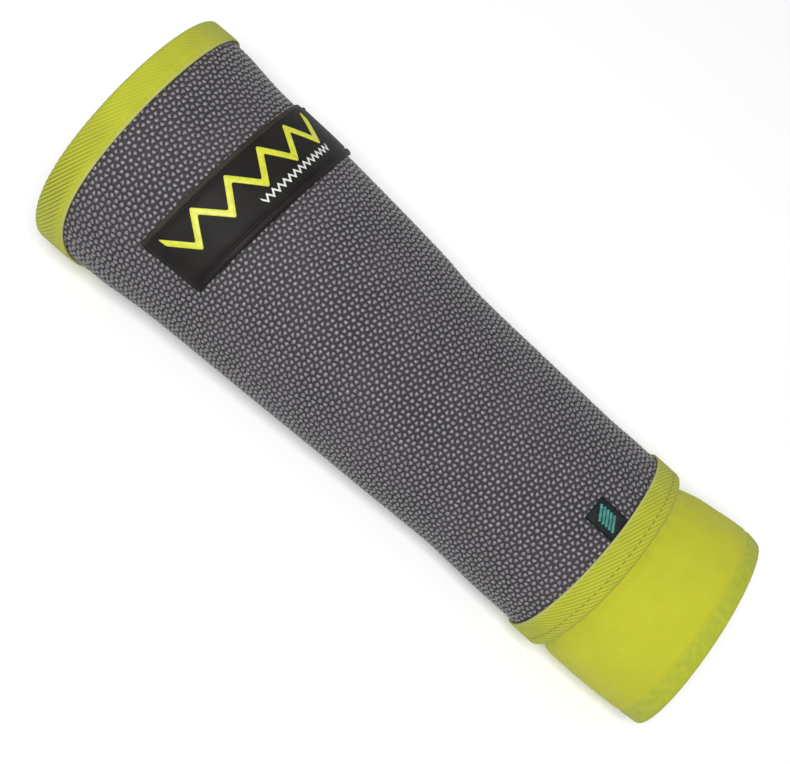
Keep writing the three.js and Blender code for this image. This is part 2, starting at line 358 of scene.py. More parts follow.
def mottled_group():
    """A Color that darkens in soft spots, and the Spots from 0 to 1."""
    group = bpy.data.node_groups.new("soft_spots", "ShaderNodeTree")
    group.interface.new_socket("Color", in_out="INPUT", socket_type="NodeSocketColor")
    group.interface.new_socket("Darkening", in_out="INPUT", socket_type="NodeSocketFloat")
    group.interface.new_socket("Spot Size", in_out="INPUT", socket_type="NodeSocketFloat")
    group.interface.new_socket("Color", in_out="OUTPUT", socket_type="NodeSocketColor")
    group.interface.new_socket("Spots", in_out="OUTPUT", socket_type="NodeSocketFloat")
    nodes, links = group.nodes, group.links
    given, made = nodes.new("NodeGroupInput"), nodes.new("NodeGroupOutput")
    place = nodes.new("ShaderNodeTexCoord")
    noise = nodes.new("ShaderNodeTexNoise")
    noise.inputs["Detail"].default_value = 3
    links.new(place.outputs["Object"], noise.inputs["Vector"])
    links.new(math_node(nodes, links, "DIVIDE", 1.0, given.outputs["Spot Size"]), noise.inputs["Scale"])
    spots = nodes.new("ShaderNodeMapRange")
    spots.inputs["From Min"].default_value = 0.35
    spots.inputs["From Max"].default_value = 0.65
    links.new(noise.outputs["Fac"], spots.inputs["Value"])
    depth = math_node(nodes, links, "MULTIPLY", spots.outputs["Result"], given.outputs["Darkening"])
    links.new(mixed(nodes, links, depth, given.outputs["Color"], (0, 0, 0)), made.inputs["Color"])
    links.new(spots.outputs["Result"], made.inputs["Spots"])
    return group


woven_threads = woven_group()
soft_spots = mottled_group()


def woven(nodes, thread_width, slant):
    """The height of woven threads."""
    node = nodes.new("ShaderNodeGroup")
    node.node_tree = woven_threads
    node.inputs["Thread Width"].default_value = thread_width
    node.inputs["Slant"].default_value = slant
    return node.outputs["Height"]


def mottled(nodes, links, color, darkening, spot_size):
    """A colour with darker soft spots, and the spots themselves."""
    node = nodes.new("ShaderNodeGroup")
    node.node_tree = soft_spots
    feed(links, node.inputs["Color"], color)
    node.inputs["Darkening"].default_value = darkening
    node.inputs["Spot Size"].default_value = spot_size
    return node.outputs["Color"], node.outputs["Spots"]


def bump(nodes, links, height, distance, shader):
    node = nodes.new("ShaderNodeBump")
    node.inputs["Distance"].default_value = distance
    links.new(height, node.inputs["Height"])
    links.new(node.outputs["Normal"], shader.inputs["Normal"])


guard_cloth, nodes, links, shader = new_material("guard_cloth", roughness=0.85)
cloth_color = mottled(nodes, links, CLOTH_COLOR, darkening=0.3, spot_size=0.02)[0]
links.new(cloth_color, shader.inputs["Base Color"])
bump(nodes, links, woven(nodes, thread_width=0.0004, slant=0.0), distance=0.00006, shader=shader)

cloth_places = np.linspace(0, PANEL_LENGTH, CLOTH_ROWS)
cloth_section = [(place, CLOTH_FACE) for place in cloth_places]
cloth_section += [(place, -PANEL_WALL) for place in cloth_places[::-1]]
cloth_mesh = spun_ring("guard_cloth", cloth_section, CLOTH_STEPS)
place, angle, offset = ring_coordinates(cloth_mesh)
map_cloth(cloth_mesh, place, angle, ELBOW_HALF_HEIGHT)
move_points(cloth_mesh, laid(panel_form, place, angle, offset))
cloth = new_piece("guard_cloth", cloth_mesh, guard_cloth)
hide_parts("guard_panel")


# Guard plates: hard grey resin plates, printed on the cloth side by side. One in five is
# large, and four smaller ones lie round it. The pattern runs straight along the cloth as it
# was cut, and stops short of the seam.
PLATE_REPEAT = ((0.00635, -0.00202), (0.00226, -0.00484))
PLATE_CENTRES = (
    (0.0, 0.0), (0.00245, 0.00039), (0.00438, -0.00018), (0.00193, -0.00191), (0.00389, -0.00243),
)
NEIGHBOUR_REACH = 0.0045
PLATE_BLANK_RADIUS = 0.004
LARGE_PLATE_SHARE = 0.465
PLATE_GAP = 0.00046
PLATE_SHORTEST_SIDE = 0.0006
PLATE_CORNER = 0.00036
PLATE_HEIGHT = 0.00034
PLATE_SINK = 0.00004
PLATE_TOP_SIZE = 0.68
PLATE_CROWN = 0.0001
# painted shade: the plates' flanks are darkened to the cloth's tone, and only their tops keep the resin's
# grey
PLATE_FLANK_PAINTED_SHADE = (0.042, 0.038, 0.043)
PLATE_TOP_COLOR = (0.207, 0.194, 0.209)
PATTERN_START = (0.0048, 0.0098)
PATTERN_ANGLE = SEAM_ANGLE - math.pi
PLATE_EDGE = 0.0085
SEAM_MARGIN = 0.0042
FIELD_HALF_WIDTH = 0.162
PLATE_PIECES = 4
CUT_ROWS = 86
CUT_STEPS = 720
LAST_SHARE = 0.99999
TOUCHING = 1e-6


def plate_cuts(k):
    """Where plate k is cut: a point and a direction towards each neighbour near it."""
    centre = Vector((*PLATE_CENTRES[k], 0))
    (ax, ay), (bx, by) = PLATE_REPEAT
    reach = range(-2, 3)
    for i, j, m in ((i, j, m) for i in reach for j in reach for m in range(len(PLATE_CENTRES))):
        x, y = PLATE_CENTRES[m]
        way = Vector((x + i * ax + j * bx, y + i * ay + j * by, 0)) - centre
        if 0 < way.length < NEIGHBOUR_REACH:
            share = 0.5
            if (k == 0) != (m == 0):
                share = LARGE_PLATE_SHARE if k == 0 else 1 - LARGE_PLATE_SHARE
            yield centre + way * share - way.normalized() * PLATE_GAP / 2, way.normalized()


def plate_mesh(k):
    """One plate: a round blank, cut straight half way to each neighbour, with blunt corners."""
    shape = bmesh.new()
    bmesh.ops.create_circle(
        shape, cap_ends=True, segments=16, radius=PLATE_BLANK_RADIUS,
        matrix=Matrix.Translation((*PLATE_CENTRES[k], 0)),
    )
    for through, towards in plate_cuts(k):
        whole = shape.verts[:] + shape.edges[:] + shape.faces[:]
        bmesh.ops.bisect_plane(shape, geom=whole, plane_co=through, plane_no=towards, clear_outer=True)
    bmesh.ops.remove_doubles(shape, verts=shape.verts, dist=PLATE_SHORTEST_SIDE)
    bmesh.ops.bevel(
        shape, geom=shape.verts[:], offset=PLATE_CORNER, affect="VERTICES", segments=1,
        profile=0.5, material=-1, clamp_overlap=True,
    )
    bmesh.ops.remove_doubles(shape, verts=shape.verts, dist=TOUCHING)
    raised = bmesh.ops.extrude_face_region(shape, geom=shape.faces[:])["geom"]
    rim = [part for part in raised if isinstance(part, bmesh.types.BMVert)]
    middle = sum((vertex.co for vertex in rim), Vector()) / len(rim)
    bmesh.ops.scale(
        shape, verts=rim, vec=(PLATE_TOP_SIZE, PLATE_TOP_SIZE, 1), space=Matrix.Translation(-middle)
    )
    bmesh.ops.translate(shape, verts=rim, vec=(0, 0, PLATE_HEIGHT + PLATE_SINK))
    lid = [part for part in raised if isinstance(part, bmesh.types.BMFace)]
    bmesh.ops.poke(shape, faces=lid, offset=PLATE_CROWN)
    bmesh.ops.translate(shape, verts=shape.verts, vec=(0, 0, -PLATE_SINK))
    bmesh.ops.recalc_face_normals(shape, faces=shape.faces)
    return made_mesh("plate", shape)


def joined(name, meshes):
    shape = bmesh.new()
    for mesh in meshes:
        shape.from_mesh(mesh)
    return made_mesh(name, shape)


def repeated(mesh, *rows):
    """A mesh with its copies in rows, each row a step and a count."""
    source = bpy.data.objects.new("source", mesh)
    scene.collection.objects.link(source)
    for step, count in rows:
        row = source.modifiers.new("row", "ARRAY")
        row.use_relative_offset = False
        row.use_constant_offset = True
        row.constant_offset_displace = step
        row.count = int(count)
    graph = bpy.context.evaluated_depsgraph_get()
    whole = bpy.data.meshes.new_from_object(source.evaluated_get(graph))
    bpy.data.objects.remove(source)
    return whole


def without(mesh, unwanted):
    """A copy of a mesh without the points that a mask names."""
    shape = bmesh.new()
    shape.from_mesh(mesh)
    gone = [vertex for vertex, drop in zip(shape.verts, unwanted.tolist()) if drop]
    bmesh.ops.delete(shape, geom=gone, context="VERTS")
    return made_mesh(mesh.name, shape)


def cut_table():
    """Places, angles, and the distance round the cloth from the pattern's middle line."""
    places = np.linspace(0, PANEL_LENGTH, CUT_ROWS)
    angles = PATTERN_ANGLE + np.linspace(-math.pi, math.pi, CUT_STEPS + 1)
    grid = laid(panel_form, places[:, None], angles[None, :], np.zeros((1, 1)))
    lengths = np.linalg.norm(np.diff(grid, axis=1)[..., 1:], axis=-1)
    round_it = np.concatenate([np.zeros((CUT_ROWS, 1)), np.cumsum(lengths, axis=1)], axis=1)
    return places, angles, round_it - round_it[:, CUT_STEPS // 2, None]


CUT_PLACES, CUT_ANGLES, CUT_DISTANCES = cut_table()


def angle_across(place, across):
    """The angle at a distance across the cut cloth, from its middle line towards +Y."""
    row = np.clip(place / PANEL_LENGTH, 0, LAST_SHARE) * (CUT_ROWS - 1)
    low = row.astype(int)
    found = np.empty((2, len(across)))
    for r in np.unique(low):
        here = low == r
        for side in (0, 1):
            found[side, here] = np.interp(-across[here], CUT_DISTANCES[r + side], CUT_ANGLES)
    return found[0] + (found[1] - found[0]) * (row - low)


plates = [plate_mesh(k) for k in range(len(PLATE_CENTRES))]
plate_sizes = [len(mesh.vertices) for mesh in plates]
field_sides = (-FIELD_HALF_WIDTH, FIELD_HALF_WIDTH)
field_corners = np.array([(x, y) for x in (0, PANEL_LENGTH) for y in field_sides])
field_steps = np.linalg.solve(np.array(PLATE_REPEAT).T, (field_corners - PATTERN_START).T)
first_step = np.floor(field_steps.min(axis=1)) - 1
step_counts = (np.ceil(field_steps.max(axis=1)) + 1 - first_step).astype(int)
field_rows = [((*step, 0), count) for step, count in zip(PLATE_REPEAT, step_counts)]
field = repeated(joined("guard_plates", plates), *field_rows)
flat = points_of(field)
flat[:, :2] += PATTERN_START + first_step @ np.array(PLATE_REPEAT)
copies = int(step_counts.prod())
plate_number = np.repeat(np.arange(len(plates) * copies), np.tile(plate_sizes, copies))
plate_x, plate_y = (
    (np.bincount(plate_number, flat[:, axis]) / np.bincount(plate_number))[plate_number] for axis in (0, 1)
)
half_cut_widths = np.minimum(-CUT_DISTANCES[:, 0], CUT_DISTANCES[:, -1])
half_cut_width = np.interp(plate_x, CUT_PLACES, half_cut_widths)
on_cloth = (plate_x > PLATE_EDGE) & (plate_x < PANEL_LENGTH - PLATE_EDGE)
on_cloth &= np.abs(plate_y) < half_cut_width - SEAM_MARGIN
move_points(field, flat)
mark_points(field, "plate_x", plate_x)
# the height mark also sets the painted shade on the plates' flanks
mark_points(field, "height", np.clip(flat[:, 2] / PLATE_HEIGHT, 0, 1))
field = without(field, ~on_cloth)


def marked(nodes, name):
    """The values that a piece's points carry under a name, in its material."""
    node = nodes.new("ShaderNodeAttribute")
    node.attribute_name = name
    return node.outputs["Fac"]


guard_plates, nodes, links, shader = new_material("guard_plates", roughness=0.36)
# painted shade: the plate colour runs from dark at the foot to light on the top
plate_color = mixed(nodes, links, marked(nodes, "height"), PLATE_FLANK_PAINTED_SHADE, PLATE_TOP_COLOR)
plate_color = mottled(nodes, links, plate_color, darkening=0.3, spot_size=0.0025)[0]
links.new(plate_color, shader.inputs["Base Color"])
shader.inputs["Specular IOR Level"].default_value = 0.7
plate_pits = mottled(nodes, links, plate_color, darkening=0.0, spot_size=0.00025)[1]
bump(nodes, links, plate_pits, distance=0.00002, shader=shader)

plate_x = marks_of(field, "plate_x")
flat = points_of(field)
place, across, height = flat.T
move_points(field, laid(panel_form, place, angle_across(place, across), CLOTH_FACE + height))
for k in range(PLATE_PIECES):
    start, end = PANEL_LENGTH * k / PLATE_PIECES, PANEL_LENGTH * (k + 1) / PLATE_PIECES
    mesh = without(field, (plate_x < start) | (plate_x >= end))
    mesh.attributes.remove(mesh.attributes["plate_x"])
    new_piece(f"guard_plates_{k + 1}", mesh, guard_plates)


# Seam: the cloth's two long edges lap in a flat strip without plates, which two rows of
# grey thread hold down.
SEAM_STRIP_WIDTH = 0.0066
SEAM_STRIP_THICKNESS = 0.00026
SEAM_SINK = 0.00005
SEAM_ROW_SPACING = 0.0044
SEAM_END = 0.0082
STITCH_PITCH = 0.003
STITCH_LENGTH = 0.0023
THREAD_THICKNESS = 0.0004
THREAD_FINISH = {"roughness": 0.6, "darkening": 0.3, "spot_size": 0.0003, "depth": 0.00003}
GREY_THREAD = (0.10, 0.095, 0.10)


def stitch_row(count, pitch, length):
    """Stitches lying end to end along X: short threads, thick in the middle."""
    shape = bmesh.new()
    stitch = bmesh.ops.create_uvsphere(shape, u_segments=8, v_segments=6, radius=0.5)["verts"]
    bmesh.ops.rotate(shape, verts=stitch, cent=(0, 0, 0), matrix=Matrix.Rotation(math.pi / 2, 3, "Y"))
    bmesh.ops.scale(shape, verts=stitch, vec=(length, THREAD_THICKNESS, THREAD_THICKNESS))
    bmesh.ops.translate(shape, verts=stitch, vec=(pitch / 2, 0, 0))
    return repeated(made_mesh("stitches", shape), ((pitch, 0, 0), count))


def seam_points(mesh, height):
    """Lays a flat mesh along the seam: X along the sleeve, Y across the seam."""
    x, y, z = points_of(mesh).T
    place = PANEL_LENGTH / 2 + x
    half_width, half_height = panel_form(place)[:2]
    angle = SEAM_ANGLE - 2 * y / (half_width + half_height)
    return place, angle, CLOTH_FACE + height + z


def drawn_out(shape):
    """Draws the faces of a flat shape out to a wall, and gives the points of its new side."""
    drawn = bmesh.ops.extrude_face_region(shape, geom=shape.faces[:])["geom"]
    return [part for part in drawn if isinstance(part, bmesh.types.BMVert)]


strip_shape = bmesh.new()
bmesh.ops.create_grid(strip_shape, x_segments=90, y_segments=4, size=0.5)
strip_size = (PANEL_LENGTH - 2 * SEAM_END, SEAM_STRIP_WIDTH, 1)
bmesh.ops.scale(strip_shape, verts=strip_shape.verts, vec=strip_size)
strip_top = drawn_out(strip_shape)
bmesh.ops.translate(strip_shape, verts=strip_top, vec=(0, 0, SEAM_STRIP_THICKNESS + SEAM_SINK))
bmesh.ops.recalc_face_normals(strip_shape, faces=strip_shape.faces)
strip_mesh = made_mesh("seam_strip", strip_shape)
place, angle, offset = seam_points(strip_mesh, -SEAM_SINK)
map_cloth(strip_mesh, place, angle - math.pi, ELBOW_HALF_HEIGHT)
move_points(strip_mesh, laid(panel_form, place, angle, offset))
seam_strip = new_piece("seam_strip", strip_mesh, guard_cloth)

seam_count = int((PANEL_LENGTH - 2 * SEAM_END) / STITCH_PITCH)
seam_rows = []
for side in (-1, 1):
    row = stitch_row(seam_count, STITCH_PITCH, STITCH_LENGTH)
    row.transform(Matrix.Translation((-seam_count * STITCH_PITCH / 2, side * SEAM_ROW_SPACING / 2, 0)))
    seam_rows.append(row)
seam_mesh = joined("seam_thread", seam_rows)
place, angle, offset = seam_points(seam_mesh, SEAM_STRIP_THICKNESS)
move_points(seam_mesh, laid(panel_form, place, angle, offset))


def spotted_material(name, color, roughness, darkening, spot_size, depth):
    """One colour, a little uneven, whose spots also stand up or sink."""
    material, nodes, links, shader = new_material(name, roughness)
    spotted_color, spots = mottled(nodes, links, color, darkening, spot_size)
    links.new(spotted_color, shader.inputs["Base Color"])
    bump(nodes, links, spots, depth, shader)
    return material


grey_thread = spotted_material("grey_thread", GREY_THREAD, **THREAD_FINISH)
seam_thread = new_piece("seam_thread", seam_mesh, grey_thread)


# Binding tapes: lime cotton twill, folded over both ends of the cloth and sewn through with
# one row of stitches. Slanting ridges run over both faces of the tape, between its plain
# woven edges. The elbow tape is wider under the lower side.
ELBOW_BAND_EXTRA = 0.007
ELBOW_BAND_EXTRA_ANGLE = math.radians(228)
ELBOW_BAND_EXTRA_FOCUS = 6
TAPE_FACE = 0.00096
TAPE_EDGE_WIDTH = 0.0005
TAPE_EDGE_HEIGHT = 0.00112
# each row: distance from the tape's edge as a share of the edge's width, height
TAPE_EDGE_PROFILE = ((0.1, TAPE_EDGE_HEIGHT), (0.9, TAPE_EDGE_HEIGHT), (1.4, TAPE_FACE))
RIDGE_HEIGHT = 0.00024
RIDGE_ROUNDNESS = 0.8
COLUMNS_IN_RIDGE = 6
TAPE_PLAIN_WIDTH = 0.0011
TAPE_ROWS = 12
TAPE_BACK_ROWS = 6
FOLD_ROWS = 8
DITCH_DEPTH = 0.00022
DITCH_WIDTH = 0.0014
DITCH_STEPS = (-0.5, -0.25, 0.0, 0.25, 0.5)
DITCH_FLATTENING = 0.6
THREAD_SINK = 0.6
ELBOW_TAPE_RADIUS = 0.0495
ELBOW_RIDGES = 110
ELBOW_SLANT = math.radians(27)
ELBOW_STITCH_FROM_EDGE = 0.0019
ELBOW_RIDGES_ANGLE = math.radians(152)
ELBOW_RIDGES_FOCUS = 12
ELBOW_RIDGES_FLAT = 0.22
ELBOW_RIDGES_AT_EDGE = 0.2
ELBOW_RIDGES_FADE = (0.0012, 0.0050)
WRIST_RIDGES_SHARE = 0.6
WRIST_TAPE_RADIUS = 0.0398
WRIST_RIDGES = 84
WRIST_SLANT = math.radians(25)
WRIST_STITCH_FROM_EDGE = 0.0083
LIME = (0.45, 0.475, 0.02)
# painted shade: the tape's colour down in the grooves between its ridges; the cuff's course shade also
# mixes towards it
LIME_GROOVE_SHADE = (0.12, 0.135, 0.008)
# painted highlight: a paler, greyer line along the tape's outward edge, where the edge catches light
LIME_EDGE_HIGHLIGHT = (0.43, 0.44, 0.11)
LIME_SHEEN = 0.05
LIME_THREAD = (0.46, 0.48, 0.05)
# painted shade: the wrist tape's thread is darkened to olive to stand in for the shadow between its sunk
# stitches
THREAD_PAINTED_SHADE = (0.17, 0.185, 0.02)


def tape_section(stitch_from_edge):
    """Rows of the folded tape, round its section: the way in from the fold, the offset, the
    distance along the tape from the fold, the way that its face looks, and the ridges' share."""
    middle = -PANEL_WALL / 2
    reach = TAPE_FACE - middle
    rows = [
        (BAND_WIDTH, CLEARANCE, BAND_WIDTH, 1, 0, 0),
        (BAND_WIDTH, TAPE_FACE, BAND_WIDTH, 0, 1, 0),
    ]
    for edge, height in TAPE_EDGE_PROFILE:
        into = BAND_WIDTH - edge * TAPE_EDGE_WIDTH
        rows.append((into, height, into, 0, 1, 0))
    from_edge = list(np.linspace(TAPE_PLAIN_WIDTH, BAND_WIDTH, TAPE_ROWS))
    from_edge += [stitch_from_edge + share * DITCH_WIDTH for share in DITCH_STEPS]
    for edge in np.unique(np.round(from_edge, 6)):
        into = BAND_WIDTH - edge
        dip = math.cos(math.pi * min(0.5, abs(edge - stitch_from_edge) / DITCH_WIDTH))
        rows.append((into, TAPE_FACE - DITCH_DEPTH * dip, into, 0, 1, 1 - DITCH_FLATTENING * dip))
    for turn in np.linspace(0, math.pi, FOLD_ROWS + 1)[1:-1]:
        into, offset = -TAPE_FACE * math.sin(turn), middle + reach * math.cos(turn)
        rows.append((into, offset, -reach * turn, -math.sin(turn), math.cos(turn), 1))
    for into in np.linspace(0, BAND_WIDTH, TAPE_BACK_ROWS):
        rows.append((into, middle - reach, -reach * math.pi - into, 0, -1, 1))
    last_way = rows[-1][2]
    towards_fold = np.linspace(BAND_WIDTH, -CLEARANCE, TAPE_BACK_ROWS)
    from_fold = np.linspace(-CLEARANCE, BAND_WIDTH, TAPE_BACK_ROWS)
    hidden = [(into, -PANEL_WALL - CLEARANCE) for into in towards_fold]
    hidden += [(into, CLEARANCE) for into in from_fold[:-1]]
    for k, (into, offset) in enumerate(hidden):
        way = last_way + (BAND_WIDTH - last_way) * (k + 1) / (len(hidden) + 1)
        rows.append((into, offset, way, 0, 0, 0))
    return rows


def elbow_place(into, angle):
    under = ((1 + np.cos(angle - ELBOW_BAND_EXTRA_ANGLE)) / 2) ** ELBOW_BAND_EXTRA_FOCUS
    return np.where(into > 0, into * (BAND_WIDTH + ELBOW_BAND_EXTRA * under) / BAND_WIDTH, into)


def elbow_ridges(into, angle):
    """The ridges stand up on the front side, away from the tape's inner edge."""
    standing = ((1 + np.cos(angle - ELBOW_RIDGES_ANGLE)) / 2) ** ELBOW_RIDGES_FOCUS
    strength = ELBOW_RIDGES_FLAT + (1 - ELBOW_RIDGES_FLAT) * standing
    full = blend_step(*ELBOW_RIDGES_FADE, BAND_WIDTH - into)
    return strength * (ELBOW_RIDGES_AT_EDGE + (1 - ELBOW_RIDGES_AT_EDGE) * full)


def wrist_place(into, angle):
    return PANEL_LENGTH - into


def wrist_ridges(into, angle):
    return WRIST_RIDGES_SHARE


def tape_mesh(name, place_of, strength_of, facing, stitch_from_edge, ridges, slant, radius):
    """A folded tape round the sleeve. Facing is 1 if it runs in towards the wrist, else -1."""
    section = [(facing * into, *rest) for into, *rest in tape_section(stitch_from_edge)]
    marks = ("way", "look_in", "look_out", "ridged")
    steps = ridges * COLUMNS_IN_RIDGE
    mesh = spun_ring(name, section, steps, marks)
    x, angle, offset = ring_coordinates(mesh)
    way, look_in, look_out, ridged = (marks_of(mesh, mark) for mark in marks)
    column_number = np.rint(angle * steps / (2 * math.pi))
    swell = np.abs(np.sin(math.pi * column_number / COLUMNS_IN_RIDGE)) ** RIDGE_ROUNDNESS
    angle = angle - facing * way / (radius * math.tan(slant))
    valley = ridged * strength_of(facing * x, angle) * (1 - swell)
    height = RIDGE_HEIGHT * (ridged - valley)
    place = place_of(facing * x + look_in * height, angle)
    map_cloth(mesh, way, angle, radius)
    for mark in marks:
        mesh.attributes.remove(mesh.attributes[mark])
    # painted shade: this mark darkens the grooves between the ridges
    mark_points(mesh, "groove_shade", valley)
    # painted highlight: this mark makes the tape's outward edge paler and greyer
    mark_points(mesh, "edge_highlight", look_out * (ridged == 0))
    move_points(mesh, laid(panel_form, place, angle, offset + look_out * height))
    return mesh


def tape_thread(name, place_of, stitch_from_edge, radius):
    """The row of stitches in a tape's ditch."""
    count = round(2 * math.pi * radius / STITCH_PITCH)
    mesh = stitch_row(count, STITCH_PITCH, STITCH_LENGTH)
    mesh.name = name
    x, y, z = points_of(mesh).T
    angle = 2 * math.pi * x / (count * STITCH_PITCH)
    place = place_of(BAND_WIDTH - stitch_from_edge, angle) + y
    move_points(mesh, laid(panel_form, place, angle, TAPE_FACE - THREAD_SINK * DITCH_DEPTH + z))
    return mesh


lime_twill, nodes, links, shader = new_material("lime_twill", roughness=0.8)
# painted highlight: the tape's outward edge is paler and greyer
twill_face = mixed(nodes, links, marked(nodes, "edge_highlight"), LIME, LIME_EDGE_HIGHLIGHT)
twill_face = mottled(nodes, links, twill_face, darkening=0.1, spot_size=0.012)[0]
# painted shade: the grooves between the ridges are darkened
twill_color = mixed(nodes, links, marked(nodes, "groove_shade"), twill_face, LIME_GROOVE_SHADE)
links.new(twill_color, shader.inputs["Base Color"])
bump(nodes, links, woven(nodes, thread_width=0.00028, slant=0.6), distance=0.00005, shader=shader)
shader.inputs["Sheen Weight"].default_value = LIME_SHEEN

elbow_tape_mesh = tape_mesh(
    "elbow_tape", elbow_place, elbow_ridges, 1, ELBOW_STITCH_FROM_EDGE,
    ELBOW_RIDGES, ELBOW_SLANT, ELBOW_TAPE_RADIUS,
)
elbow_tape = new_piece("elbow_tape", elbow_tape_mesh, lime_twill)
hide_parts("elbow_binding")
lime_thread = spotted_material("lime_thread", LIME_THREAD, **THREAD_FINISH)
elbow_thread_mesh = tape_thread(
    "elbow_tape_thread", elbow_place, ELBOW_STITCH_FROM_EDGE, ELBOW_TAPE_RADIUS
)
elbow_thread = new_piece("elbow_tape_thread", elbow_thread_mesh, lime_thread)

wrist_tape_mesh = tape_mesh(
    "wrist_tape", wrist_place, wrist_ridges, -1, WRIST_STITCH_FROM_EDGE,
    WRIST_RIDGES, WRIST_SLANT, WRIST_TAPE_RADIUS,
)
wrist_tape = new_piece("wrist_tape", wrist_tape_mesh, lime_twill)
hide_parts("wrist_binding")
# painted shade: dark olive thread for the shadow between the wrist tape's stitches
thread_in_painted_shade = spotted_material("thread_in_painted_shade", THREAD_PAINTED_SHADE, **THREAD_FINISH)
wrist_thread_mesh = tape_thread(
    "wrist_tape_thread", wrist_place, WRIST_STITCH_FROM_EDGE, WRIST_TAPE_RADIUS
)
wrist_thread = new_piece("wrist_tape_thread", wrist_thread_mesh, thread_in_painted_shade)


# Knit cuff: one tube of fine lime knit, gathered a little where it comes out from under the
# wrist tape. Its courses run round it on a slant, and its end is turned in to a hem.
CUFF_HALF_WIDTH = 0.0442
CUFF_HALF_HEIGHT = 0.0366
CUFF_WALL = 0.0015
CUFF_TUCK = 0.008
CUFF_FLARE = 0.0065
CUFF_DEPTH = PANEL_WALL + CLEARANCE + BAND_RISE
HEM_WIDTH = 0.0076
HEM_WALL = 0.0024
HEM_GROOVE_WIDTH = 0.0012
HEM_GROOVE_DEPTH = 0.00035
HEM_TURN_ROWS = 9
HEM_COLOR_BLEND = 0.0004
# each row: share of the length, share of the cuff's size, and sideways lean as a share of
# its half width
CUFF_SECTIONS = (
    (0.0, 0.918, -0.014),
    (0.13, 0.955, -0.014),
    (0.31, 0.984, 0.0),
    (0.5, 0.996, 0.011),
    (0.71, 1.004, 0.029),
    (0.87, 1.0, 0.041),
    (1.0, 0.985, 0.041),
)
COURSE_PITCH = 0.0016
COURSE_TURNS = 43
COURSE_HEIGHT = 0.00007
COURSE_SHADE = 0.06
CUFF_ROW = 0.0003
CUFF_INNER_ROWS = 40
CUFF_STEPS = 220
GATHERS = 31
GATHER_DEPTH = 0.00044
GATHER_REACH = 0.006
CUFF_LIME = (0.455, 0.468, 0.013)
HEM_LIME = (0.395, 0.435, 0.022)


def cuff_form(place):
    """The cuff's section: it follows the panel's under the tape, then flares to its own."""
    share = (place - PANEL_LENGTH) / CUFF_LENGTH
    size = column(CUFF_SECTIONS, 1, share)
    lean = column(CUFF_SECTIONS, 2, share)
    flare_start = PANEL_LENGTH + BAND_RISE + CLEARANCE
    own = blend_step(flare_start, flare_start + CUFF_FLARE, place)
    under_width, under_height, under_lean, under_lift = panel_form(np.minimum(place, PANEL_LENGTH))
    return (
        (under_width - CUFF_DEPTH) * (1 - own) + CUFF_HALF_WIDTH * size * own,
        (under_height - CUFF_DEPTH) * (1 - own) + CUFF_HALF_HEIGHT * size * own,
        under_lean * (1 - own) + CUFF_HALF_WIDTH * lean * own,
        (under_lift + CUFF_DEPTH) * (1 - own),
    )


cuff_end = PANEL_LENGTH + CUFF_LENGTH
hem_line = cuff_end - HEM_WIDTH
hem_round = HEM_WALL / 2
outer_places = np.arange(PANEL_LENGTH - CUFF_TUCK, cuff_end - hem_round, CUFF_ROW)
near_line = np.clip(1 - np.abs(outer_places - hem_line) / HEM_GROOVE_WIDTH, 0, 1)
outer_offsets = -HEM_GROOVE_DEPTH * near_line * near_line * (3 - 2 * near_line)
cuff_section = [(place, offset, 1) for place, offset in zip(outer_places, outer_offsets)]
for turn in np.linspace(0, math.pi, HEM_TURN_ROWS):
    place = cuff_end - hem_round * (1 - math.sin(turn))
    cuff_section.append((place, hem_round * (math.cos(turn) - 1), 0))
for place in np.linspace(cuff_end - hem_round, PANEL_LENGTH - CUFF_TUCK, CUFF_INNER_ROWS)[1:]:
    cuff_section.append((place, -HEM_WALL if place > hem_line else -CUFF_WALL, 0))
cuff_mesh = spun_ring("cuff_tube", cuff_section, CUFF_STEPS, ("outside",))
place, angle, offset = ring_coordinates(cuff_mesh)
outside = marks_of(cuff_mesh, "outside")
course = 0.5 + 0.5 * np.cos(2 * math.pi * place / COURSE_PITCH - COURSE_TURNS * angle)
gather = np.exp(-np.maximum(place - PANEL_LENGTH - BAND_RISE, 0) / GATHER_REACH) * (place > PANEL_LENGTH)
offset = offset - COURSE_HEIGHT * outside * (1 - course)
offset = offset - GATHER_DEPTH * gather * (0.5 - 0.5 * np.sin(GATHERS * angle))
map_cloth(cuff_mesh, place, angle, CUFF_HALF_HEIGHT)
cuff_mesh.attributes.remove(cuff_mesh.attributes["outside"])
mark_points(cuff_mesh, "course", course)
on_hem = blend_step(hem_line - HEM_COLOR_BLEND, hem_line + HEM_COLOR_BLEND, place)
mark_points(cuff_mesh, "hem", on_hem)
move_points(cuff_mesh, laid(cuff_form, place, angle, offset))

fine_knit, nodes, links, shader = new_material("fine_knit", roughness=0.85)
knit_color = mottled(nodes, links, CUFF_LIME, darkening=0.05, spot_size=0.011)[0]
hem_color = mottled(nodes, links, HEM_LIME, darkening=0.12, spot_size=0.0025)[0]
knit_color = mixed(nodes, links, marked(nodes, "hem"), knit_color, hem_color)
course_shade = math_node(nodes, links, "MULTIPLY", marked(nodes, "course"), COURSE_SHADE)
links.new(mixed(nodes, links, course_shade, knit_color, LIME_GROOVE_SHADE), shader.inputs["Base Color"])
bump(nodes, links, woven(nodes, thread_width=0.00036, slant=0.29), distance=0.00006, shader=shader)
shader.inputs["Sheen Weight"].default_value = LIME_SHEEN
cuff = new_piece("cuff_tube", cuff_mesh, fine_knit)
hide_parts("knit_cuff")


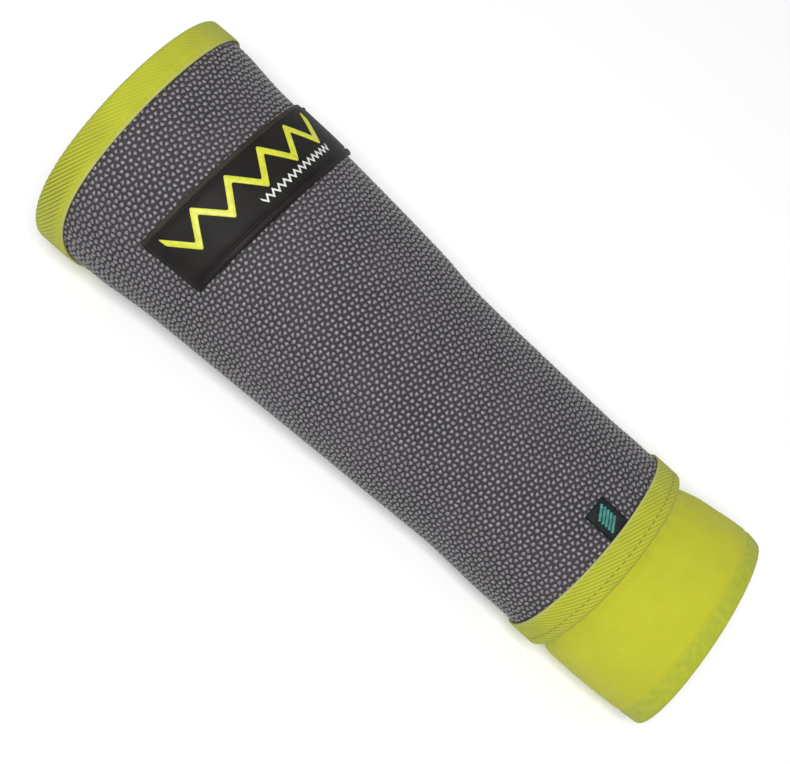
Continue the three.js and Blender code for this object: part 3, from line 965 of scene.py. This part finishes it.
# Rubber patch: moulded black rubber, bonded round the upper side near the elbow. A flange
# runs round its raised panel, with a second ridge on the wrist side, and the panel carries
# two plain raised zigzag lines.
PATCH_START = 0.043
PATCH_WIDTH = 0.0284
PATCH_LENGTH = 0.104
PATCH_TILT = 0.0028
PATCH_BOW = 0.003
PATCH_ANGLE = math.radians(83)
PATCH_CORNER = 0.0016
PATCH_STEP = 0.0014
PATCH_FIELD = 0.0012
PATCH_FIELD_CUTS = np.linspace(0.0065, 0.0215, 6)
PATCH_CROSS_CUTS = np.arange(-0.049, 0.0491, PATCH_STEP)
FLANGE_BLEND = (0.0018, 0.0022)
RUBBER_COLOR = (0.014, 0.0125, 0.0115)
# painted light: the flange on the elbow side is a lighter olive-brown, the black rubber as lit and
# reflecting
FLANGE_PAINTED_LIGHT = (0.038, 0.033, 0.025)
# each row: distance from the patch's elbow side, height
PATCH_PROFILE = (
    (0.0, 0.00055),
    (0.00025, 0.00072),
    (0.0017, 0.00078),
    (0.00195, 0.0005),
    (0.0022, 0.0005),
    (0.0025, 0.0014),
    (0.0028, 0.0015),
    (0.0032, 0.0015),
    (0.0035, PATCH_FIELD),
    (0.0246, PATCH_FIELD),
    (0.0249, 0.00085),
    (0.0255, 0.00085),
    (0.0258, 0.0014),
    (0.0261, 0.0015),
    (0.0273, 0.0015),
    (0.0277, 0.00135),
    (0.0284, 0.00095),
)
# each row: distance from either end of the patch, height
PATCH_END_PROFILE = (
    (0.0, 0.00055),
    (0.00025, 0.00072),
    (0.0012, 0.00075),
    (0.00145, 0.0005),
    (0.0017, 0.0005),
    (0.002, 0.0014),
    (0.0022, 0.0015),
)


def patch_points(mesh, height):
    """Lays a flat mesh on the patch's place: X from its elbow side, Y along it towards +Y."""
    x, y, z = points_of(mesh).T
    s = 2 * y / PATCH_LENGTH
    half_width, half_height = panel_form(PATCH_START + PATCH_WIDTH / 2)[:2]
    place = PATCH_START + x + PATCH_TILT * s + PATCH_BOW * (1 - s * s) - PATCH_BOW / 2
    angle = PATCH_ANGLE - 2 * y / (half_width + half_height)
    return laid(panel_form, place, angle, CLEARANCE + height + z)


def cut_across(shape, axis, places):
    """Cuts edges through a flat shape, square to an axis, without parting it."""
    for place in places:
        point, normal = [0.0, 0.0, 0.0], [0.0, 0.0, 0.0]
        point[axis], normal[axis] = place, 1.0
        whole = shape.verts[:] + shape.edges[:] + shape.faces[:]
        bmesh.ops.bisect_plane(shape, geom=whole, plane_co=point, plane_no=normal)


patch_shape = bmesh.new()
bmesh.ops.create_grid(patch_shape, x_segments=1, y_segments=1, size=0.5)
bmesh.ops.scale(patch_shape, verts=patch_shape.verts, vec=(PATCH_WIDTH, PATCH_LENGTH, 1))
bmesh.ops.translate(patch_shape, verts=patch_shape.verts, vec=(PATCH_WIDTH / 2, 0, 0))
bmesh.ops.bevel(
    patch_shape, geom=patch_shape.verts[:], offset=PATCH_CORNER, affect="VERTICES", segments=5,
    profile=0.5, material=-1,
)
cut_across(patch_shape, 0, [row[0] for row in PATCH_PROFILE[1:-1]])
cut_across(patch_shape, 0, PATCH_FIELD_CUTS)
end_cuts = [PATCH_LENGTH / 2 - row[0] for row in PATCH_END_PROFILE[1:]]
cut_across(patch_shape, 1, end_cuts + [-cut for cut in end_cuts])
cut_across(patch_shape, 1, PATCH_CROSS_CUTS)
for point in drawn_out(patch_shape):
    from_end = PATCH_LENGTH / 2 - abs(point.co.y)
    side_height = np.interp(point.co.x, *zip(*PATCH_PROFILE))
    point.co.z = min(side_height, np.interp(from_end, *zip(*PATCH_END_PROFILE)))
bmesh.ops.recalc_face_normals(patch_shape, faces=patch_shape.faces)
patch_mesh = made_mesh("rubber_patch", patch_shape)
# painted light: this mark tints the elbow-side flange lighter olive-brown
mark_points(patch_mesh, "flange", 1 - blend_step(*FLANGE_BLEND, points_of(patch_mesh)[:, 0]))
move_points(patch_mesh, patch_points(patch_mesh, 0.0))

black_rubber, nodes, links, shader = new_material("black_rubber", roughness=0.6)
# painted light: the elbow-side flange is a lighter olive-brown; the soft darker spots below are wear
rubber_color = mixed(nodes, links, marked(nodes, "flange"), RUBBER_COLOR, FLANGE_PAINTED_LIGHT)
worn_and_lit_color = mottled(nodes, links, rubber_color, darkening=0.4, spot_size=0.011)[0]
links.new(worn_and_lit_color, shader.inputs["Base Color"])
rubber_grain = mottled(nodes, links, rubber_color, darkening=0.0, spot_size=0.0004)[1]
bump(nodes, links, rubber_grain, distance=0.00003, shader=shader)
shader.inputs["Specular IOR Level"].default_value = 0.17
patch = new_piece("rubber_patch", patch_mesh, black_rubber)
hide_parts("label_patch")

# each row: name, middle across the patch, first end along it, length and height of a leg,
# number of legs, width of the line, rise
ZIGZAGS = (
    ("lime_zigzag", 0.0112, -0.0455, 0.0078, 0.0108, 10, 0.004, 0.0005),
    ("white_zigzag", 0.0209, -0.0120, 0.0014, 0.0024, 28, 0.0013, 0.0002),
)
ZIGZAG_CORNER = 0.2
ZIGZAG_RIM = 0.4
ZIGZAG_SINK = 0.0001
ZIGZAG_FINISH = {"roughness": 0.45, "darkening": 0.18, "spot_size": 0.002, "depth": 0.00002}
LIME_RUBBER = (0.62, 0.64, 0.04)
WHITE_RUBBER = (0.72, 0.72, 0.70)


def zigzag_mesh(name, middle, start, leg, height, legs, width, rise):
    """One line that turns up and down, drawn out from its first edge leg by leg."""
    shape = bmesh.new()
    ends = [shape.verts.new((middle - height / 2 + side * width, start, 0)) for side in (-0.5, 0.5)]
    edge = shape.edges.new(ends)
    for k in range(legs):
        drawn = bmesh.ops.extrude_edge_only(shape, edges=[edge])["geom"]
        points = [part for part in drawn if isinstance(part, bmesh.types.BMVert)]
        edge = next(part for part in drawn if isinstance(part, bmesh.types.BMEdge))
        bmesh.ops.translate(shape, verts=points, vec=(height if k % 2 == 0 else -height, leg, 0))
    bmesh.ops.dissolve_faces(shape, faces=shape.faces[:])
    bmesh.ops.bevel(
        shape, geom=shape.verts[:], offset=width * ZIGZAG_CORNER, affect="VERTICES", segments=2,
        profile=0.5, material=-1,
    )
    cut_across(shape, 1, np.arange(start, start + leg * legs, PATCH_STEP)[1:])
    bmesh.ops.translate(shape, verts=drawn_out(shape), vec=(0, 0, rise))
    bmesh.ops.recalc_face_normals(shape, faces=shape.faces)
    shape.normal_update()
    rims = [edge for edge in shape.edges if edge.is_manifold and edge.calc_face_angle() > 1]
    rims = [edge for edge in rims if min(end.co.z for end in edge.verts) > rise / 2]
    bmesh.ops.bevel(
        shape, geom=rims, offset=rise * ZIGZAG_RIM, affect="EDGES", segments=2, profile=0.5,
        material=-1,
    )
    bmesh.ops.remove_doubles(shape, verts=shape.verts, dist=TOUCHING)
    return made_mesh(name, shape)


zigzag_paints = (
    spotted_material("lime_rubber", LIME_RUBBER, **ZIGZAG_FINISH),
    spotted_material("white_rubber", WHITE_RUBBER, **ZIGZAG_FINISH),
)
for row, paint in zip(ZIGZAGS, zigzag_paints):
    zigzag = zigzag_mesh(*row)
    move_points(zigzag, patch_points(zigzag, PATCH_FIELD - ZIGZAG_SINK))
    new_piece(row[0], zigzag, paint)


# Woven tab: a short black tape, folded double and caught under the wrist tape. Slanting teal
# bars are woven into its upper leaf.
TAB_WIDTH = 0.0096
TAB_LENGTH = 0.0132
TAB_THICKNESS = 0.0011
TAB_ANGLE = math.radians(96)
TAB_FOLD = 0.0005
TAB_LEAF = 0.00042
TAB_SLIT = 0.0004
TAB_STEP = 0.0011
TAB_BAR_LENGTH = 0.0062
TAB_BAR_WIDTH = 0.00105
TAB_BAR_RISE = 0.00012
TAB_BAR_TURN = math.radians(32)
TAB_BARS = 5
TAB_BAR_SPACING = 0.0016
TAB_BAR_EDGE = 0.8
TAB_CUTS = np.arange(-3.5, 4) * TAB_STEP
TAB_BAR_CUTS = np.arange(-3, 4) * TAB_STEP * 0.7
TAB_COLOR = (0.013, 0.017, 0.017)
TAB_BAR_COLOR = (0.035, 0.28, 0.24)
tab_end = PANEL_LENGTH - BAND_WIDTH - CLEARANCE


def tab_points(mesh, height):
    """Lays a flat mesh on the tab's place: X from its fold towards the wrist, Y across it."""
    x, y, z = points_of(mesh).T
    half_width, half_height = panel_form(tab_end)[:2]
    place = tab_end - TAB_LENGTH + x
    angle = TAB_ANGLE - 2 * y / (half_width + half_height)
    return place, angle, CLEARANCE + height + z


tab_shape = bmesh.new()
bmesh.ops.create_cube(tab_shape, size=1)
bmesh.ops.scale(tab_shape, verts=tab_shape.verts, vec=(TAB_LENGTH, TAB_WIDTH, TAB_THICKNESS))
bmesh.ops.translate(tab_shape, verts=tab_shape.verts, vec=(TAB_LENGTH / 2, 0, TAB_THICKNESS / 2))
tab_shape.normal_update()
tab_sides = [face for face in tab_shape.faces if abs(face.normal.y) > 0.5]
bmesh.ops.inset_individual(tab_shape, faces=tab_sides, thickness=TAB_LEAF, depth=-TAB_SLIT)
tab_folds = [
    edge for edge in tab_shape.edges
    if all(end.co.x < TOUCHING for end in edge.verts) and edge.calc_length() > TAB_WIDTH / 2
]
bmesh.ops.bevel(
    tab_shape, geom=tab_folds, offset=TAB_FOLD, affect="EDGES", segments=4, profile=0.5, material=-1
)
cut_across(tab_shape, 0, np.arange(TAB_STEP, TAB_LENGTH, TAB_STEP))
cut_across(tab_shape, 1, TAB_CUTS)
tab_mesh = made_mesh("woven_tab", tab_shape)
place, angle, offset = tab_points(tab_mesh, 0.0)
map_cloth(tab_mesh, place, angle, WRIST_HALF_HEIGHT)
move_points(tab_mesh, laid(panel_form, place, angle, offset))

black_weave, nodes, links, shader = new_material("black_weave", roughness=0.7)
tab_color = mottled(nodes, links, TAB_COLOR, darkening=0.5, spot_size=0.003)[0]
links.new(tab_color, shader.inputs["Base Color"])
bump(nodes, links, woven(nodes, thread_width=0.00025, slant=0.0), distance=0.00005, shader=shader)
shader.inputs["Specular IOR Level"].default_value = 0.2
tab = new_piece("woven_tab", tab_mesh, black_weave)
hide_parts("side_tab")

bar_shape = bmesh.new()
bmesh.ops.create_cube(bar_shape, size=1)
bmesh.ops.scale(bar_shape, verts=bar_shape.verts, vec=(TAB_BAR_WIDTH, TAB_BAR_LENGTH, 2 * TAB_BAR_RISE))
bmesh.ops.bevel(
    bar_shape, geom=bar_shape.edges[:], offset=TAB_BAR_RISE * TAB_BAR_EDGE, affect="EDGES",
    segments=2, profile=0.5, material=-1,
)
cut_across(bar_shape, 1, TAB_BAR_CUTS)
first_bar = Vector((TAB_LENGTH / 2 - (TAB_BARS - 1) / 2 * TAB_BAR_SPACING, 0, 0))
bar_turn = Matrix.Rotation(TAB_BAR_TURN, 4, "Z")
bmesh.ops.transform(bar_shape, matrix=Matrix.Translation(first_bar) @ bar_turn, verts=bar_shape.verts)
bars_mesh = repeated(made_mesh("tab_bars", bar_shape), ((TAB_BAR_SPACING, 0, 0), TAB_BARS))
place, angle, offset = tab_points(bars_mesh, TAB_THICKNESS)
map_cloth(bars_mesh, place, angle, WRIST_HALF_HEIGHT)
move_points(bars_mesh, laid(panel_form, place, angle, offset))

teal_satin, nodes, links, shader = new_material("teal_satin", roughness=0.4)
bar_color = mottled(nodes, links, TAB_BAR_COLOR, darkening=0.55, spot_size=0.0015)[0]
links.new(bar_color, shader.inputs["Base Color"])
bump(nodes, links, woven(nodes, thread_width=0.0002, slant=0.5), distance=0.00004, shader=shader)
new_piece("tab_bars", bars_mesh, teal_satin)
